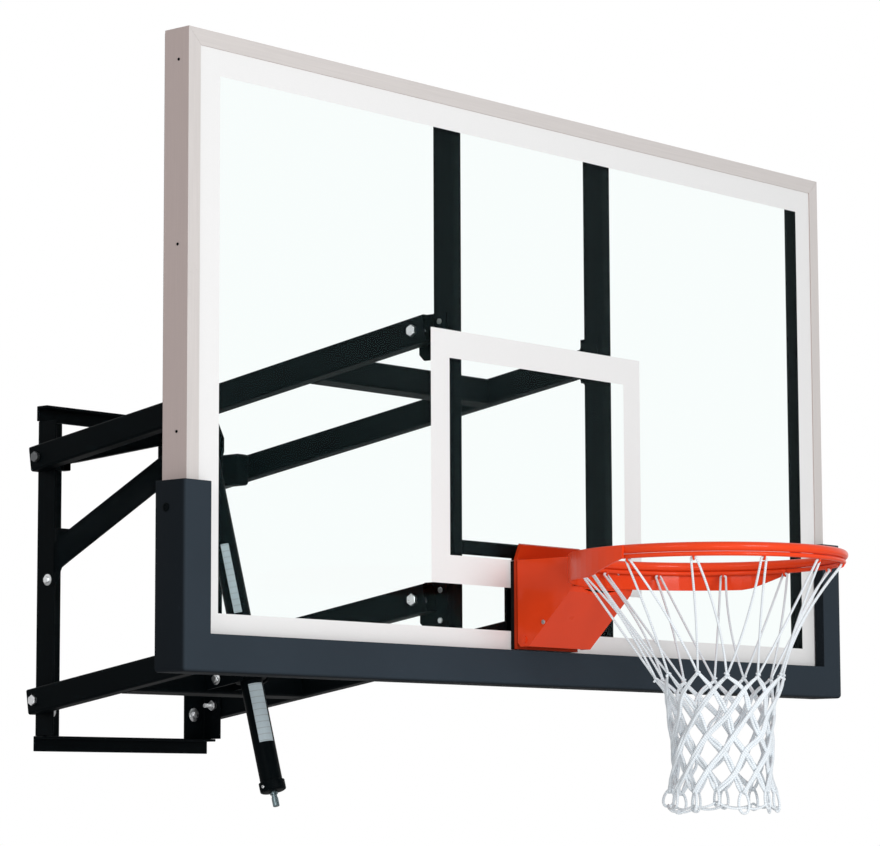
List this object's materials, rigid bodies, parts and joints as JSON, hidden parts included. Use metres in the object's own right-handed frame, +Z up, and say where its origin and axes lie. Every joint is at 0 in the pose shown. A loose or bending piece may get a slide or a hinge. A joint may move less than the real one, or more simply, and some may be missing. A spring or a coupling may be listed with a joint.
{
  "type": "wall-mounted basketball hoop",
  "caption": "Adjustable wall-mounted basketball hoop: framed glass board on a swinging arm frame with a crank jack, sprung rim and cord net.",
  "frame": {"origin": "on the wall plane, at the middle of the wall frame's height and width", "axes": "+X to the right for a player who faces the board, +Y into the wall, +Z up"},
  "size_m": [1.8846, 1.7466, 1.3132],
  "materials": {
    "black": "satin",
    "zinc": "satin",
    "aluminium": "satin",
    "glass": "gloss",
    "pad": "matte",
    "gasket": "matte",
    "orange": "gloss",
    "net": "matte"
  },
  "bodies": {
    "wall_frame": {"wall_rail_left": "black", "wall_rail_right": "black", "wall_bar_top": "black", "wall_bar_bottom": "black", "wall_pivot_bolt_upper_left": "zinc", "wall_pivot_bolt_upper_right": "zinc", "wall_pivot_bolt_lower_left": "zinc", "wall_pivot_bolt_lower_right": "zinc", "jack_strut_left": "black", "jack_strut_right": "black", "jack_tie_left": "black", "jack_tie_right": "black", "jack_hanger": "black", "jack_pin": "zinc"},
    "upper_arms": {"upper_arm_left": "black", "upper_arm_right": "black", "upper_cross_tube": "black"},
    "lower_arms": {"lower_arm_left": "black", "lower_arm_right": "black", "lower_cross_tube": "black"},
    "board": {"board_frame_left": "aluminium", "board_frame_right": "aluminium", "board_frame_top": "aluminium", "board_frame_bottom": "aluminium", "glass": "glass", "steel_rail_left": "black", "steel_rail_right": "black", "steel_rail_top": "black", "steel_rail_bottom": "black", "board_support_left": "black", "board_support_right": "black", "board_bracket_upper_left": "black", "board_bracket_upper_right": "black", "board_bracket_lower_left": "black", "board_bracket_lower_right": "black", "board_pivot_bolt_upper_left": "zinc", "board_pivot_bolt_upper_right": "zinc", "board_pivot_bolt_lower_left": "zinc", "board_pivot_bolt_lower_right": "zinc", "edge_pad": "pad", "rim_backing_plate": "black", "rim_gasket": "gasket", "rim_mount_plate": "orange", "rim_hinge_pin": "zinc", "spring_stud_left": "zinc", "spring_stud_right": "zinc", "rim_spring_left": "zinc", "rim_spring_right": "zinc"},
    "rim": {"rim_bracket": "orange", "rim_ring": "orange", "net_rod": "orange", "rim_brace": "orange", "net": "net"},
    "jack_upper": {"jack_outer_tube": "black", "jack_drive_nut": "zinc"},
    "jack_lower": {"jack_inner_tube": "black", "jack_trunnion": "black", "jack_cap": "black"},
    "crank": {"crank_screw": "zinc"}
  },
  "joints": [
    {"name": "upper_arms_swing", "type": "hinge", "parent": "wall_frame", "child": "upper_arms", "pos_m": [0, -0.03302, 0.24003], "axis": [1, 0, 0], "range_deg": [0, 45]},
    {"name": "lower_arms_swing", "type": "hinge", "parent": "wall_frame", "child": "lower_arms", "pos_m": [0, -0.03302, -0.24765], "axis": [1, 0, 0], "range_deg": [0, 45.5]},
    {"name": "board_level", "type": "hinge", "parent": "upper_arms", "child": "board", "pos_m": [0, -1.04235, 0.39448], "axis": [1, 0, 0], "range_deg": [-45.5, 0]},
    {"name": "jack_swing", "type": "hinge", "parent": "wall_frame", "child": "jack_upper", "pos_m": [0, -0.2319, 0.28194], "axis": [1, 0, 0], "range_deg": [0, 10.2]},
    {"name": "jack_slide", "type": "slide", "parent": "jack_upper", "child": "jack_lower", "axis": [0, -0.2736, -0.9618], "range_m": [0, 0.238]},
    {"name": "crank_turn", "type": "hinge", "parent": "jack_lower", "child": "crank", "pos_m": [0, -0.40563, -0.32883], "axis": [0, -0.2736, -0.9618], "continuous": true},
    {"name": "rim_breakaway", "type": "hinge", "parent": "board", "child": "rim", "pos_m": [0, -1.1503, -0.16127], "axis": [1, 0, 0], "range_deg": [0, 25], "stiffness_Nm_per_rad": 600, "springref_deg": -34.38, "deforming": ["rim_spring_left", "rim_spring_right"]}
  ],
  "couplings": [
    {"joint": "lower_arms_swing", "follows": "upper_arms_swing", "ratio": 1},
    {"joint": "board_level", "follows": "upper_arms_swing", "ratio": -1},
    {"joint": "jack_swing", "follows": "upper_arms_swing", "ratio": 0.22428},
    {"joint": "jack_slide", "follows": "upper_arms_swing", "m_per_rad": 0.30107}
  ]
}
